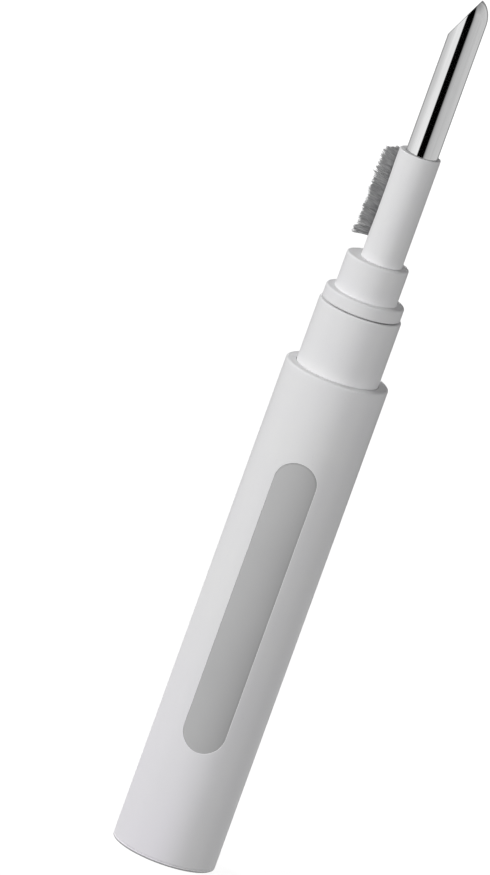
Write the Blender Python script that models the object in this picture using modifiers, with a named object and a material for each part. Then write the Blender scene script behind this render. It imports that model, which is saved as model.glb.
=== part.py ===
"""Three-in-one cleaning pen: a barrel with a neck, and a double-ended insert seated in it.

The pen stands upright on its end cap. +Z runs along the barrel's axis towards the metal tip, the
origin is the centre of the flat base, and the grip inlay faces -Y. The insert carries a bristle
brush and a metal rod above its flange, and a flocked sponge below it, inside the barrel.

Every dimension below is in millimetres. The helpers turn them into metres.
"""

import math

import bmesh
import bpy
from mathutils import Matrix, Vector

MM = 0.001

# ---- barrel -------------------------------------------------------------------------------
BARREL_R = 7.5
BARREL_BOTTOM = 0.6  # the end cap's lip is below this
BARREL_TOP = 73.0  # the shoulder
CHAMBER_R = 5.6
SEAT_Z = 58.0  # the step that the neck sleeve stands on
SEAT_R = 6.15
EDGE = 0.25  # rounding of the outer edges

CAP_LIP_TOP = 0.5
CAP_PLUG_R = 5.45
CAP_PLUG_TOP = 5.6
CAP_CUP_R = 4.3
CAP_FLOOR = 1.6

NECK_R = 6.0
NECK_TOP = 82.6
NECK_BORE_R = 4.7  # round the collar's lower plug
NECK_WIDE_R = 5.45  # round the sponge
NECK_WIDE_TOP = 77.2

PILL_LENGTH = 43.8
PILL_WIDTH = 6.13
PILL_Z = 38.8
POCKET_R = 7.0  # the pocket's floor
INLAY_R = (7.15, 7.34)  # the pad's inner and outer faces
TAPE_R = (7.03, 7.12)

# ---- insert -------------------------------------------------------------------------------
FLANGE_R = 5.725
FLANGE_BOTTOM = 82.72
FLANGE_TOP = 84.7
PLUG_R = 4.535
PLUG_TOP = 90.0
PLUG_BOTTOM = 77.6
SOCKET_R = 2.1  # through the collar, for the shaft's tenon and the stem's tang

BRUSH_AZIMUTH = 139.6  # degrees from +X, seen from above: the side that the bristles face
SHAFT_R = 3.0
SHAFT_OFFSET = 0.64  # the shaft's axis, away from the brush
SHAFT_BOTTOM = 90.05
SHAFT_TOP = 106.3
TENON_R = 2.0
TENON_BOTTOM = 84.6

ROD_R = 2.3
ROD_OFFSET = 0.93
ROD_BOTTOM = 92.9
ROD_BORE_R = 2.38
ROD_BORE_BOTTOM = 92.6
NOSE_START = 126.4  # where the rod begins to round in
NOSE_LENGTH = 3.4
SLANT_AZIMUTH = 175.6  # the side of the rod where the slanting cut is lowest
SLANT_LOW = 123.56
SLANT_SLOPE = 2.1124  # rise for each unit across
SHANK_FLAT = 0.05  # the shank's flat, from the shaft's axis towards the brush
SHANK_FLAT_TOP = 105.45

WINDOW_LOW, WINDOW_HIGH = 91.2, 105.9  # the scalloped opening in the shaft's side
WINDOW_DEEPEST = 1.72  # its floor at mid length, from the shaft's axis
SLOT_LOW, SLOT_HIGH = 91.85, 105.35
SLOT_HALF_WIDTH = 1.55

BASE_LOW, BASE_HIGH = 92.75, 105.15
BASE_HALF_WIDTH = 1.35
BASE_INNER, BASE_OUTER = 0.2, 1.2

TUFTS_IN_ROW = 9
TUFT_PITCH = 1.42
TUFT_MID_Z = 98.6
TUFT_ROW = 0.70  # each row's distance from the brush's middle, at the root
TUFT_ROOT, TUFT_TIP = 1.3, 5.8
TUFT_ROOT_R, TUFT_TIP_R = 0.55, 0.62
TUFT_SPREAD = 0.12  # how far a tip leans sideways
TUFT_FAN = 0.25  # how far the end tufts' tips lean along the axis

STEM_R = 1.9
STEM_BOTTOM = 45.5
STEM_TOP = 84.3
SPONGE_R = 5.2
SPONGE_TOP = 77.5
SPONGE_BOTTOM = 38.3
SPONGE_EDGE = 0.8
SPONGE_BORE_R = 2.3
SPONGE_BORE_BOTTOM = 45.0

TOWARDS_BRUSH = Vector(
    (math.cos(math.radians(BRUSH_AZIMUTH)), math.sin(math.radians(BRUSH_AZIMUTH)), 0)
)


# ---- helpers ------------------------------------------------------------------------------
def material(name, colour, roughness, metallic=0.0):
    made = bpy.data.materials.new(name)
    made.use_nodes = True
    made.diffuse_color = (*colour, 1)
    shader = made.node_tree.nodes["Principled BSDF"]
    shader.inputs["Base Color"].default_value = (*colour, 1)
    shader.inputs["Roughness"].default_value = roughness
    shader.inputs["Metallic"].default_value = metallic
    return made


def linked(name, mesh, collection, mat=None):
    obj = bpy.data.objects.new(name, mesh)
    collection.objects.link(obj)
    if mat:
        mesh.materials.append(mat)
    return obj


def turned(name, profile, steps, collection, mat=None, centre=(0.0, 0.0), ring=False):
    """A profile of (radius, height) turned about a vertical axis. A ring's profile closes on itself."""
    mesh = bpy.data.meshes.new(name)
    edges = [(i, i + 1) for i in range(len(profile) - 1)]
    if ring:
        edges.append((len(profile) - 1, 0))
    mesh.from_pydata([(r * MM, 0, z * MM) for r, z in profile], edges, [])
    obj = linked(name, mesh, collection, mat)
    obj.location = (centre[0] * MM, centre[1] * MM, 0)
    screw = obj.modifiers.new("turn", "SCREW")
    screw.steps = screw.render_steps = steps
    screw.use_merge_vertices = True
    screw.merge_threshold = 0.00001
    screw.use_smooth_shade = True
    return obj


def corner(r, z, size, start, end, count=3):
    """Points of a rounded corner: an arc about (r, z), from one angle to another, in degrees."""
    return [
        (
            r + size * math.cos(math.radians(start + (end - start) * i / count)),
            z + size * math.sin(math.radians(start + (end - start) * i / count)),
        )
        for i in range(count + 1)
    ]


def box(name, size, matrix, collection, mat=None, bevel=0.0):
    """A box primitive, size in millimetres, placed by a matrix whose translation is in metres."""
    mesh = bpy.data.meshes.new(name)
    bm = bmesh.new()
    bmesh.ops.create_cube(bm, size=1.0)
    bmesh.ops.scale(bm, vec=[s * MM for s in size], verts=bm.verts)
    bm.to_mesh(mesh)
    bm.free()
    obj = linked(name, mesh, collection, mat)
    obj.matrix_world = matrix
    if bevel:
        rounding = obj.modifiers.new("edges", "BEVEL")
        rounding.width = bevel * MM
        rounding.segments = 2
    return obj


def outline_prism(name, points, depth, matrix, collection):
    """A closed outline in its own XY plane, extruded both ways by half the depth, as a mesh."""
    curve = bpy.data.curves.new(name, "CURVE")
    curve.dimensions = "2D"
    curve.fill_mode = "BOTH"
    curve.extrude = depth / 2 * MM
    spline = curve.splines.new("POLY")
    spline.points.add(len(points) - 1)
    for point, (x, y) in zip(spline.points, points):
        point.co = (x * MM, y * MM, 0, 1)
    spline.use_cyclic_u = True
    guide = bpy.data.objects.new(name + "_curve", curve)
    collection.objects.link(guide)
    bpy.context.view_layer.update()
    mesh = bpy.data.meshes.new_from_object(
        guide.evaluated_get(bpy.context.evaluated_depsgraph_get())
    )
    bpy.data.objects.remove(guide)
    bm = bmesh.new()
    bm.from_mesh(mesh)
    bmesh.ops.remove_doubles(bm, verts=bm.verts, dist=0.000001)
    bmesh.ops.recalc_face_normals(bm, faces=bm.faces)
    bm.to_mesh(mesh)
    bm.free()
    mesh.name = name
    obj = linked(name, mesh, collection)
    obj.matrix_world = matrix
    return obj


def boolean(obj, other, operation="DIFFERENCE"):
    step = obj.modifiers.new(other.name, "BOOLEAN")
    step.object = other
    step.operation = operation
    step.solver = "EXACT"


def finish(obj, sharp=38.0):
    """Applies the modifiers and shades the result smooth, with its corners sharp."""
    bpy.context.view_layer.update()
    mesh = bpy.data.meshes.new_from_object(
        obj.evaluated_get(bpy.context.evaluated_depsgraph_get())
    )
    mesh.name = obj.name
    obj.modifiers.clear()
    obj.data = mesh
    mesh.shade_smooth()
    mesh.set_sharp_from_angle(angle=math.radians(sharp))


def hide(obj):
    obj.hide_render = True
    obj.display_type = "WIRE"


def facing(azimuth_vector, centre, z):
    """A matrix whose X points along azimuth_vector and Z up, at a centre in millimetres."""
    x = azimuth_vector.normalized()
    y = Vector((0, 0, 1)).cross(x)
    turn = Matrix((x, y, Vector((0, 0, 1)))).transposed().to_4x4()
    return Matrix.Translation(Vector((centre[0], centre[1], z)) * MM) @ turn


# ---- the scene ----------------------------------------------------------------------------
for old in list(bpy.data.objects):
    bpy.data.objects.remove(old, do_unlink=True)

scene = bpy.context.scene
pen = bpy.data.collections.new("lens_cleaning_pen")
cutters = bpy.data.collections.new("cutters")
scene.collection.children.link(pen)
scene.collection.children.link(cutters)

white = material("white_plastic", (0.82, 0.82, 0.82), 0.38)
grey_pad = material("grip_pad", (0.40, 0.40, 0.40), 0.55)
adhesive = material("adhesive", (0.75, 0.72, 0.62), 0.6)
steel = material("polished_steel", (0.78, 0.78, 0.79), 0.12, 1.0)
nylon = material("bristle_nylon", (0.16, 0.16, 0.165), 0.5)
foam = material("flocked_foam", (0.28, 0.28, 0.29), 0.95)

barrel_body = bpy.data.objects.new("barrel_body", None)
insert_body = bpy.data.objects.new("insert_body", None)  # it slides along +Z from here
insert_body.location = (0, 0, FLANGE_BOTTOM * MM)
for empty in (barrel_body, insert_body):
    pen.objects.link(empty)
bpy.context.view_layer.update()


# ---- barrel pieces ------------------------------------------------------------------------
def pill(length, width, count=12):
    """The outline of a long pill standing up, with X across and Y along it."""
    r = width / 2
    straight = length / 2 - r
    top = [
        (r * math.cos(math.pi * i / count), straight + r * math.sin(math.pi * i / count))
        for i in range(count + 1)
    ]
    return top + [(-x, -y) for x, y in top]


def pill_prism(name, shrink, near, far):
    """The pill extruded along -Y, from near to far in front of the axis."""
    stand_up = Matrix.Rotation(math.radians(90), 4, "X")
    place = Matrix.Translation(Vector((0, -(near + far) / 2, PILL_Z)) * MM) @ stand_up
    return outline_prism(
        name,
        pill(PILL_LENGTH - 2 * shrink, PILL_WIDTH - 2 * shrink),
        far - near,
        place,
        cutters,
    )


barrel_shell = turned(
    "barrel_shell",
    [(SEAT_R, BARREL_TOP)]
    + corner(BARREL_R - EDGE, BARREL_TOP - EDGE, EDGE, 90, 0)
    + corner(BARREL_R - 0.12, BARREL_BOTTOM + 0.12, 0.12, 0, -90, 1)
    + [(CHAMBER_R, BARREL_BOTTOM), (CHAMBER_R, SEAT_Z), (SEAT_R, SEAT_Z)],
    72,
    pen,
    white,
    ring=True,
)
pocket = pill_prism("pocket_prism", 0.0, 4.0, 9.0)
pocket_floor = turned(
    "pocket_floor",
    [(0, 75.0), (POCKET_R, 75.0), (POCKET_R, 5.0), (0, 5.0)],
    72,
    cutters,
)
boolean(pocket, pocket_floor)
finish(pocket)
boolean(barrel_shell, pocket)
finish(barrel_shell)


def pad(name, shrink, inner, outer, mat):
    """A pill-shaped sheet that follows the barrel, between two radii."""
    sheet = turned(
        name,
        [(inner, 70.0), (outer, 70.0), (outer, 8.0), (inner, 8.0)],
        72,
        pen,
        mat,
        ring=True,
    )
    boolean(sheet, pill_prism(name + "_outline", shrink, 4.0, 9.0), "INTERSECT")
    finish(sheet)
    return sheet


grip_inlay = pad("grip_inlay", 0.08, *INLAY_R, grey_pad)
inlay_tape = pad("inlay_tape", 0.45, *TAPE_R, adhesive)

end_cap = turned(
    "end_cap",
    [(0, CAP_FLOOR), (CAP_CUP_R, CAP_FLOOR), (CAP_CUP_R, CAP_PLUG_TOP)]
    + corner(CAP_PLUG_R - 0.2, CAP_PLUG_TOP - 0.2, 0.2, 90, 0, 1)
    + [(CAP_PLUG_R, CAP_LIP_TOP)]
    + corner(BARREL_R - 0.06, CAP_LIP_TOP - 0.06, 0.06, 90, 0, 1)
    + corner(BARREL_R - EDGE, EDGE, EDGE, 0, -90)
    + [(0, 0)],
    72,
    pen,
    white,
)
finish(end_cap)

neck_sleeve = turned(
    "neck_sleeve",
    [(NECK_BORE_R + 0.2, NECK_TOP)]
    + corner(NECK_R - 0.2, NECK_TOP - 0.2, 0.2, 90, 0)
    + [
        (NECK_R, SEAT_Z + 0.4),
        (NECK_R - 0.25, SEAT_Z + 0.15),
        (NECK_WIDE_R, SEAT_Z + 0.15),
        (NECK_WIDE_R, NECK_WIDE_TOP),
        (NECK_BORE_R, NECK_WIDE_TOP + NECK_WIDE_R - NECK_BORE_R),
        (NECK_BORE_R, NECK_TOP - 0.2),
    ],
    72,
    pen,
    white,
    ring=True,
)
finish(neck_sleeve)

# ---- insert pieces ------------------------------------------------------------------------
collar = turned(
    "collar",
    [(SOCKET_R, PLUG_TOP)]
    + corner(PLUG_R - 0.25, PLUG_TOP - 0.25, 0.25, 90, 0)
    + [(PLUG_R, FLANGE_TOP)]
    + corner(FLANGE_R - 0.25, FLANGE_TOP - 0.25, 0.25, 90, 0)
    + corner(FLANGE_R - 0.25, FLANGE_BOTTOM + 0.25, 0.25, 0, -90)
    + [(PLUG_R, FLANGE_BOTTOM)]
    + corner(PLUG_R - 0.25, PLUG_BOTTOM + 0.25, 0.25, 0, -90)
    + [(SOCKET_R, PLUG_BOTTOM)],
    60,
    pen,
    white,
    ring=True,
)
finish(collar)

shaft_centre = -TOWARDS_BRUSH * SHAFT_OFFSET
rod_centre = -TOWARDS_BRUSH * ROD_OFFSET

brush_shaft = turned(
    "brush_shaft",
    [(0, SHAFT_TOP)]
    + corner(SHAFT_R - 0.15, SHAFT_TOP - 0.15, 0.15, 90, 0, 2)
    + [(SHAFT_R, SHAFT_BOTTOM), (0, SHAFT_BOTTOM)],
    48,
    pen,
    white,
    centre=shaft_centre[:2],
)
tenon = turned(
    "tenon",
    [
        (0, SHAFT_BOTTOM + 1.0),
        (TENON_R, SHAFT_BOTTOM + 1.0),
        (TENON_R, TENON_BOTTOM + 0.25),
        (TENON_R - 0.25, TENON_BOTTOM),
        (0, TENON_BOTTOM),
    ],
    48,
    cutters,
)
rod_bore = turned(
    "rod_bore",
    [
        (0, SHAFT_TOP + 2.0),
        (ROD_BORE_R, SHAFT_TOP + 2.0),
        (ROD_BORE_R, ROD_BORE_BOTTOM),
        (0, ROD_BORE_BOTTOM),
    ],
    48,
    cutters,
    centre=rod_centre[:2],
)


def window_floor(z):
    """How far the window's floor is from the shaft's axis at a height: deepest at mid length."""
    middle = (WINDOW_LOW + WINDOW_HIGH) / 2
    share = abs(z - middle) / ((WINDOW_HIGH - WINDOW_LOW) / 2)
    depth = (SHAFT_R + 0.3 - WINDOW_DEEPEST) * max(0.0, 1 - share**3) ** (1 / 2)
    return SHAFT_R + 0.3 - depth


heights = [
    (WINDOW_LOW + WINDOW_HIGH) / 2
    - (WINDOW_HIGH - WINDOW_LOW) / 2 * math.cos(math.pi * i / 16)
    for i in range(17)
]
window_outline = [(window_floor(z), z - TUFT_MID_Z) for z in heights]
window_outline += [(SHAFT_R + 2.0, heights[-1] - TUFT_MID_Z)]
window_outline += [(SHAFT_R + 2.0, heights[0] - TUFT_MID_Z)]
# The outline's X points towards the brush and its Y up, so its normal runs across the shaft.
across = facing(TOWARDS_BRUSH, shaft_centre, TUFT_MID_Z) @ Matrix.Rotation(
    math.radians(90), 4, "X"
)
window = outline_prism("brush_window", window_outline, 9.0, across, cutters)
slot = box(
    "brush_slot",
    (4.0, 2 * SLOT_HALF_WIDTH, SLOT_HIGH - SLOT_LOW),
    facing(
        TOWARDS_BRUSH,
        shaft_centre + TOWARDS_BRUSH * (BASE_INNER - 0.1 + 2.0),
        (SLOT_LOW + SLOT_HIGH) / 2,
    ),
    cutters,
)
boolean(brush_shaft, tenon, "UNION")
boolean(brush_shaft, rod_bore)
boolean(brush_shaft, window)
boolean(brush_shaft, slot)
finish(brush_shaft)


def nose(z):
    return ROD_R * math.sqrt(max(0.0, 1 - ((z - NOSE_START) / NOSE_LENGTH) ** 2))


nose_heights = [NOSE_START + NOSE_LENGTH * math.sin(math.pi / 2 * i / 10) for i in range(11)]
metal_tip = turned(
    "metal_tip",
    [(nose(z), z) for z in reversed(nose_heights)]
    + [(ROD_R, ROD_BOTTOM + 0.3), (ROD_R - 0.3, ROD_BOTTOM), (0, ROD_BOTTOM)],
    48,
    pen,
    steel,
    centre=rod_centre[:2],
)
low_side = Vector(
    (math.cos(math.radians(SLANT_AZIMUTH)), math.sin(math.radians(SLANT_AZIMUTH)), 0)
)
uphill = (-low_side + Vector((0, 0, SLANT_SLOPE))).normalized()
level = Vector((0, 0, 1)).cross(-low_side).normalized()
normal = uphill.cross(level)
if normal.z < 0:
    normal = -normal
slant_frame = Matrix((uphill, normal.cross(uphill), normal)).transposed().to_4x4()
lowest_point = rod_centre + low_side * ROD_R + Vector((0, 0, SLANT_LOW))
slant = box(
    "slant_cut",
    (30.0, 12.0, 12.0),
    Matrix.Translation((lowest_point + uphill * 5.0 + normal * 6.0) * MM) @ slant_frame,
    cutters,
)
shank_flat = box(
    "shank_flat",
    (5.0, 8.0, SHANK_FLAT_TOP - ROD_BOTTOM + 2.0),
    facing(
        TOWARDS_BRUSH,
        shaft_centre + TOWARDS_BRUSH * (SHANK_FLAT + 2.5),
        (SHANK_FLAT_TOP + ROD_BOTTOM - 2.0) / 2,
    ),
    cutters,
)
boolean(metal_tip, slant)
boolean(metal_tip, shank_flat)
finish(metal_tip)

brush_base = box(
    "brush_base",
    (BASE_OUTER - BASE_INNER, 2 * BASE_HALF_WIDTH, BASE_HIGH - BASE_LOW),
    facing(
        TOWARDS_BRUSH,
        shaft_centre + TOWARDS_BRUSH * (BASE_INNER + BASE_OUTER) / 2,
        (BASE_LOW + BASE_HIGH) / 2,
    ),
    pen,
    nylon,
    bevel=0.12,
)
finish(brush_base)

# One tuft, standing along its own Z from the origin. Every tuft shares this mesh.
tuft_length = TUFT_TIP - TUFT_ROOT
tuft_shape = turned(
    "tuft_shape",
    [
        (0, tuft_length),
        (TUFT_TIP_R * 0.75, tuft_length - 0.06),
        (TUFT_TIP_R, tuft_length - 0.35),
        (TUFT_ROOT_R, 0),
        (0, 0),
    ],
    12,
    cutters,
    nylon,
)
finish(tuft_shape)
tuft_mesh = tuft_shape.data
bpy.data.objects.remove(tuft_shape)
tuft_mesh.name = "tuft"

tufts = []
brush_frame = facing(TOWARDS_BRUSH, shaft_centre, 0)
for row, side in (("a", 1), ("b", -1)):
    for i in range(TUFTS_IN_ROW):
        share = (i - (TUFTS_IN_ROW - 1) / 2) / ((TUFTS_IN_ROW - 1) / 2)
        root = Vector((TUFT_ROOT, side * TUFT_ROW, TUFT_MID_Z - share * TUFT_PITCH * (TUFTS_IN_ROW - 1) / 2))
        lean = Vector((tuft_length, side * TUFT_SPREAD, -share * TUFT_FAN)).normalized()
        tuft = bpy.data.objects.new(f"tuft_{row}{i + 1}", tuft_mesh)
        pen.objects.link(tuft)
        turn = lean.to_track_quat("Z", "Y").to_matrix().to_4x4()
        tuft.matrix_world = brush_frame @ Matrix.Translation(root * MM) @ turn
        tufts.append(tuft)

barbs = []
for z in (73.0, 65.0, 57.0, 51.0):
    barbs += [(STEM_R, z), (STEM_R + 0.2, z - 0.2), (STEM_R + 0.2, z - 0.5), (STEM_R, z - 1.6)]
sponge_stem = turned(
    "sponge_stem",
    [(0, STEM_TOP), (1.75, STEM_TOP), (2.0, STEM_TOP - 0.25), (2.0, PLUG_BOTTOM), (STEM_R, PLUG_BOTTOM - 0.3)]
    + barbs
    + [(STEM_R, STEM_BOTTOM + 1.2), (STEM_R - 0.7, STEM_BOTTOM + 0.2), (0, STEM_BOTTOM)],
    32,
    pen,
    white,
)
finish(sponge_stem)

dome_z = SPONGE_BOTTOM + SPONGE_R
sponge = turned(
    "sponge",
    [
        (0, SPONGE_BORE_BOTTOM),
        (1.4, SPONGE_BORE_BOTTOM + 0.2),
        (SPONGE_BORE_R, SPONGE_BORE_BOTTOM + 1.2),
        (SPONGE_BORE_R, SPONGE_TOP),
    ]
    + corner(SPONGE_R - SPONGE_EDGE, SPONGE_TOP - SPONGE_EDGE, SPONGE_EDGE, 90, 0)
    + corner(0, dome_z, SPONGE_R, 0, -90, 8),
    48,
    pen,
    foam,
)
finish(sponge)

# ---- parents ------------------------------------------------------------------------------
for piece in (barrel_shell, grip_inlay, inlay_tape, end_cap, neck_sleeve):
    piece.parent = barrel_body
for piece in (collar, brush_shaft, metal_tip, brush_base, sponge_stem, sponge, *tufts):
    piece.parent = insert_body
    piece.matrix_parent_inverse = insert_body.matrix_world.inverted()
for cutter in cutters.objects:
    hide(cutter)
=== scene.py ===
"""Looks of the three-in-one lens cleaning pen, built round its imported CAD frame.

The pen stands upright on its end cap, +Z towards the metal tip, the grip inlay facing -Y.
Lengths in the shape code are millimetres, and every mesh is written in metres at the end.
"""

import math
import random

import bmesh
import bpy
import numpy as np
from mathutils import Matrix, Vector, noise


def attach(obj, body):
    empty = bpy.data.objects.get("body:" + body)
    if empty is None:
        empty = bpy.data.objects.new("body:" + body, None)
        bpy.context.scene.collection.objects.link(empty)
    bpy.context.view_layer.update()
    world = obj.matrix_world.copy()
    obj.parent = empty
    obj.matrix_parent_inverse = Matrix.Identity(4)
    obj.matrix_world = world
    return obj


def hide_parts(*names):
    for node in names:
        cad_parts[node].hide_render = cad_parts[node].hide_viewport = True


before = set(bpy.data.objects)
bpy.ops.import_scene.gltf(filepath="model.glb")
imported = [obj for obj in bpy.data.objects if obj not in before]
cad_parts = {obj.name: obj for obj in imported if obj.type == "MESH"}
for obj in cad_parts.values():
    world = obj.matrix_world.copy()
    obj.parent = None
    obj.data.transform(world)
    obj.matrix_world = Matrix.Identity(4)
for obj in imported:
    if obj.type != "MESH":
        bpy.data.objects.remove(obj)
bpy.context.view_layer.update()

MM = 0.001
scene = bpy.context.scene
scene.unit_settings.system = "METRIC"
scene.view_settings.view_transform = "Standard"
scene.view_settings.look = "None"

# The sizes that the CAD states, in millimetres.
BARREL_R, BARREL_TOP = 7.5, 73.0
SEAM_Z = 0.45  # where the barrel meets the end cap's lip
CHAMBER_R, SEAT_Z = 5.6, 58.0
NECK_R, NECK_TOP, NECK_BORE_R, NECK_WIDE_R, NECK_WIDE_TOP = 6.0, 82.6, 4.7, 5.45, 77.2
PILL_LENGTH, PILL_WIDTH, PILL_Z = 43.8, 6.13, 38.8
INLAY_INNER = 7.15
FLANGE_R, FLANGE_BOTTOM, FLANGE_TOP = 5.725, 82.72, 84.7
PLUG_R, PLUG_TOP, PLUG_BOTTOM, SOCKET_R = 4.535, 90.0, 77.6, 2.1
BRUSH_AZIMUTH = 139.6
SHAFT_R, SHAFT_OFFSET, SHAFT_BOTTOM, SHAFT_TOP = 3.0, 0.64, 90.05, 106.3
ROD_R, ROD_OFFSET, ROD_BOTTOM, ROD_BORE_BOTTOM = 2.3, 0.93, 92.9, 92.6
NOSE_START, NOSE_LENGTH = 126.4, 3.39
SLANT_AZIMUTH, SLANT_LOW, SLANT_SLOPE = 175.6, 123.56, 2.1124
WINDOW_LOW, WINDOW_HIGH, WINDOW_DEEPEST = 91.2, 105.9, 1.72
TUFT_PITCH, TUFT_MID_Z, TUFT_ROW, TUFTS_IN_ROW = 1.42, 98.6, 0.70, 9
SPONGE_R, SPONGE_TOP, SPONGE_BOTTOM, SPONGE_EDGE = 5.2, 77.5, 38.3, 0.8
PILE = 0.72  # the length of the sponge's flock fibres

TOWARDS_BRUSH = Vector(
    (math.cos(math.radians(BRUSH_AZIMUTH)), math.sin(math.radians(BRUSH_AZIMUTH)), 0)
)
SHAFT_CENTRE = -TOWARDS_BRUSH * SHAFT_OFFSET
ROD_CENTRE = -TOWARDS_BRUSH * ROD_OFFSET

# ---- camera -----------------------------------------------------------------------------------
ROLL, AZIMUTH, ELEVATION, DISTANCE = 19.92, 2.6, 13.8, 3.0
az, el, roll = (math.radians(a) for a in (AZIMUTH, ELEVATION, ROLL))
right = Vector((math.cos(az), math.sin(az), 0))
back = Vector((math.sin(az) * math.cos(el), -math.cos(az) * math.cos(el), math.sin(el)))
up = back.cross(right)
camera_x = up * math.sin(roll) + right * math.cos(roll)
camera_y = up * math.cos(roll) - right * math.sin(roll)
aim = Vector((0, 0, 0.05955)) - right * 0.00898 + up * 0.00018

camera_data = bpy.data.cameras.new("camera")
camera_data.sensor_width = 36
camera_data.lens = DISTANCE * 1000 * 0.00029676 * 1000
camera_data.clip_start = 0.05
camera_data.clip_end = 400
camera = bpy.data.objects.new("camera", camera_data)
scene.collection.objects.link(camera)
camera.matrix_world = (
    Matrix.Translation(aim + back * DISTANCE)
    @ Matrix((camera_x, camera_y, back)).transposed().to_4x4()
)
scene.camera = camera


# ---- node helpers -----------------------------------------------------------------------------
class Surface:
    """A material's nodes, with short calls for the patterns that the pieces share."""

    def __init__(self, name):
        self.material = bpy.data.materials.new(name)
        self.material.use_nodes = True
        self.tree = self.material.node_tree
        self.shader = self.tree.nodes["Principled BSDF"]
        self.place = self.add("ShaderNodeTexCoord").outputs["Object"]

    def add(self, kind, **settings):
        made = self.tree.nodes.new(kind)
        for key, value in settings.items():
            setattr(made, key, value)
        return made

    def link(self, source, target):
        self.tree.links.new(source, target)

    def set(self, **values):
        for key, value in values.items():
            self.shader.inputs[key.replace("_", " ")].default_value = value

    def mapped(self, scale=(1, 1, 1), rotation=(0, 0, 0), source=None):
        made = self.add("ShaderNodeMapping")
        made.inputs["Scale"].default_value = scale
        made.inputs["Rotation"].default_value = rotation
        self.link(source or self.place, made.inputs["Vector"])
        return made.outputs["Vector"]

    def noise(self, scale, detail=2.0, roughness=0.5, source=None, distortion=0.0):
        made = self.add("ShaderNodeTexNoise")
        made.inputs["Scale"].default_value = scale
        made.inputs["Detail"].default_value = detail
        made.inputs["Roughness"].default_value = roughness
        made.inputs["Distortion"].default_value = distortion
        self.link(source or self.place, made.inputs["Vector"])
        return made.outputs["Fac"]

    def cells(self, scale, source=None, feature="F1"):
        made = self.add("ShaderNodeTexVoronoi", feature=feature)
        made.inputs["Scale"].default_value = scale
        self.link(source or self.place, made.inputs["Vector"])
        return made.outputs["Distance"]

    def ramp(self, value, stops, interpolation="LINEAR"):
        made = self.add("ShaderNodeValToRGB")
        made.color_ramp.interpolation = interpolation
        elements = made.color_ramp.elements
        while len(elements) < len(stops):
            elements.new(0.5)
        for element, (position, colour) in zip(elements, stops):
            element.position = position
            if isinstance(colour, (int, float)):
                colour = (colour, colour, colour)
            element.color = (*colour, 1)
        self.link(value, made.inputs["Fac"])
        return made.outputs["Color"]

    def span(self, value, low, high, from_low=0.0, from_high=1.0):
        made = self.add("ShaderNodeMapRange")
        made.inputs["From Min"].default_value = from_low
        made.inputs["From Max"].default_value = from_high
        made.inputs["To Min"].default_value = low
        made.inputs["To Max"].default_value = high
        self.link(value, made.inputs["Value"])
        return made.outputs["Result"]

    def maths(self, operation, a, b=None):
        made = self.add("ShaderNodeMath", operation=operation)
        for slot, value in enumerate((a, b)):
            if value is None:
                continue
            if isinstance(value, (int, float)):
                made.inputs[slot].default_value = value
            else:
                self.link(value, made.inputs[slot])
        return made.outputs["Value"]

    def mix(self, factor, a, b, blend="MIX"):
        made = self.add("ShaderNodeMix", data_type="RGBA", blend_type=blend)
        for slot, value in (("Factor", factor), ("A", a), ("B", b)):
            socket = next(
                s
                for s in made.inputs
                if s.name == slot and s.type == ("VALUE" if slot == "Factor" else "RGBA")
            )
            if isinstance(value, (int, float)):
                socket.default_value = value if slot == "Factor" else (value, value, value, 1)
            elif isinstance(value, tuple):
                socket.default_value = (*value, 1)
            else:
                self.link(value, socket)
        return next(s for s in made.outputs if s.type == "RGBA")

    def bump(self, height, distance, strength=1.0, after=None):
        made = self.add("ShaderNodeBump")
        made.inputs["Strength"].default_value = strength
        made.inputs["Distance"].default_value = distance
        self.link(height, made.inputs["Height"])
        if after:
            self.link(after, made.inputs["Normal"])
        return made.outputs["Normal"]


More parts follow.
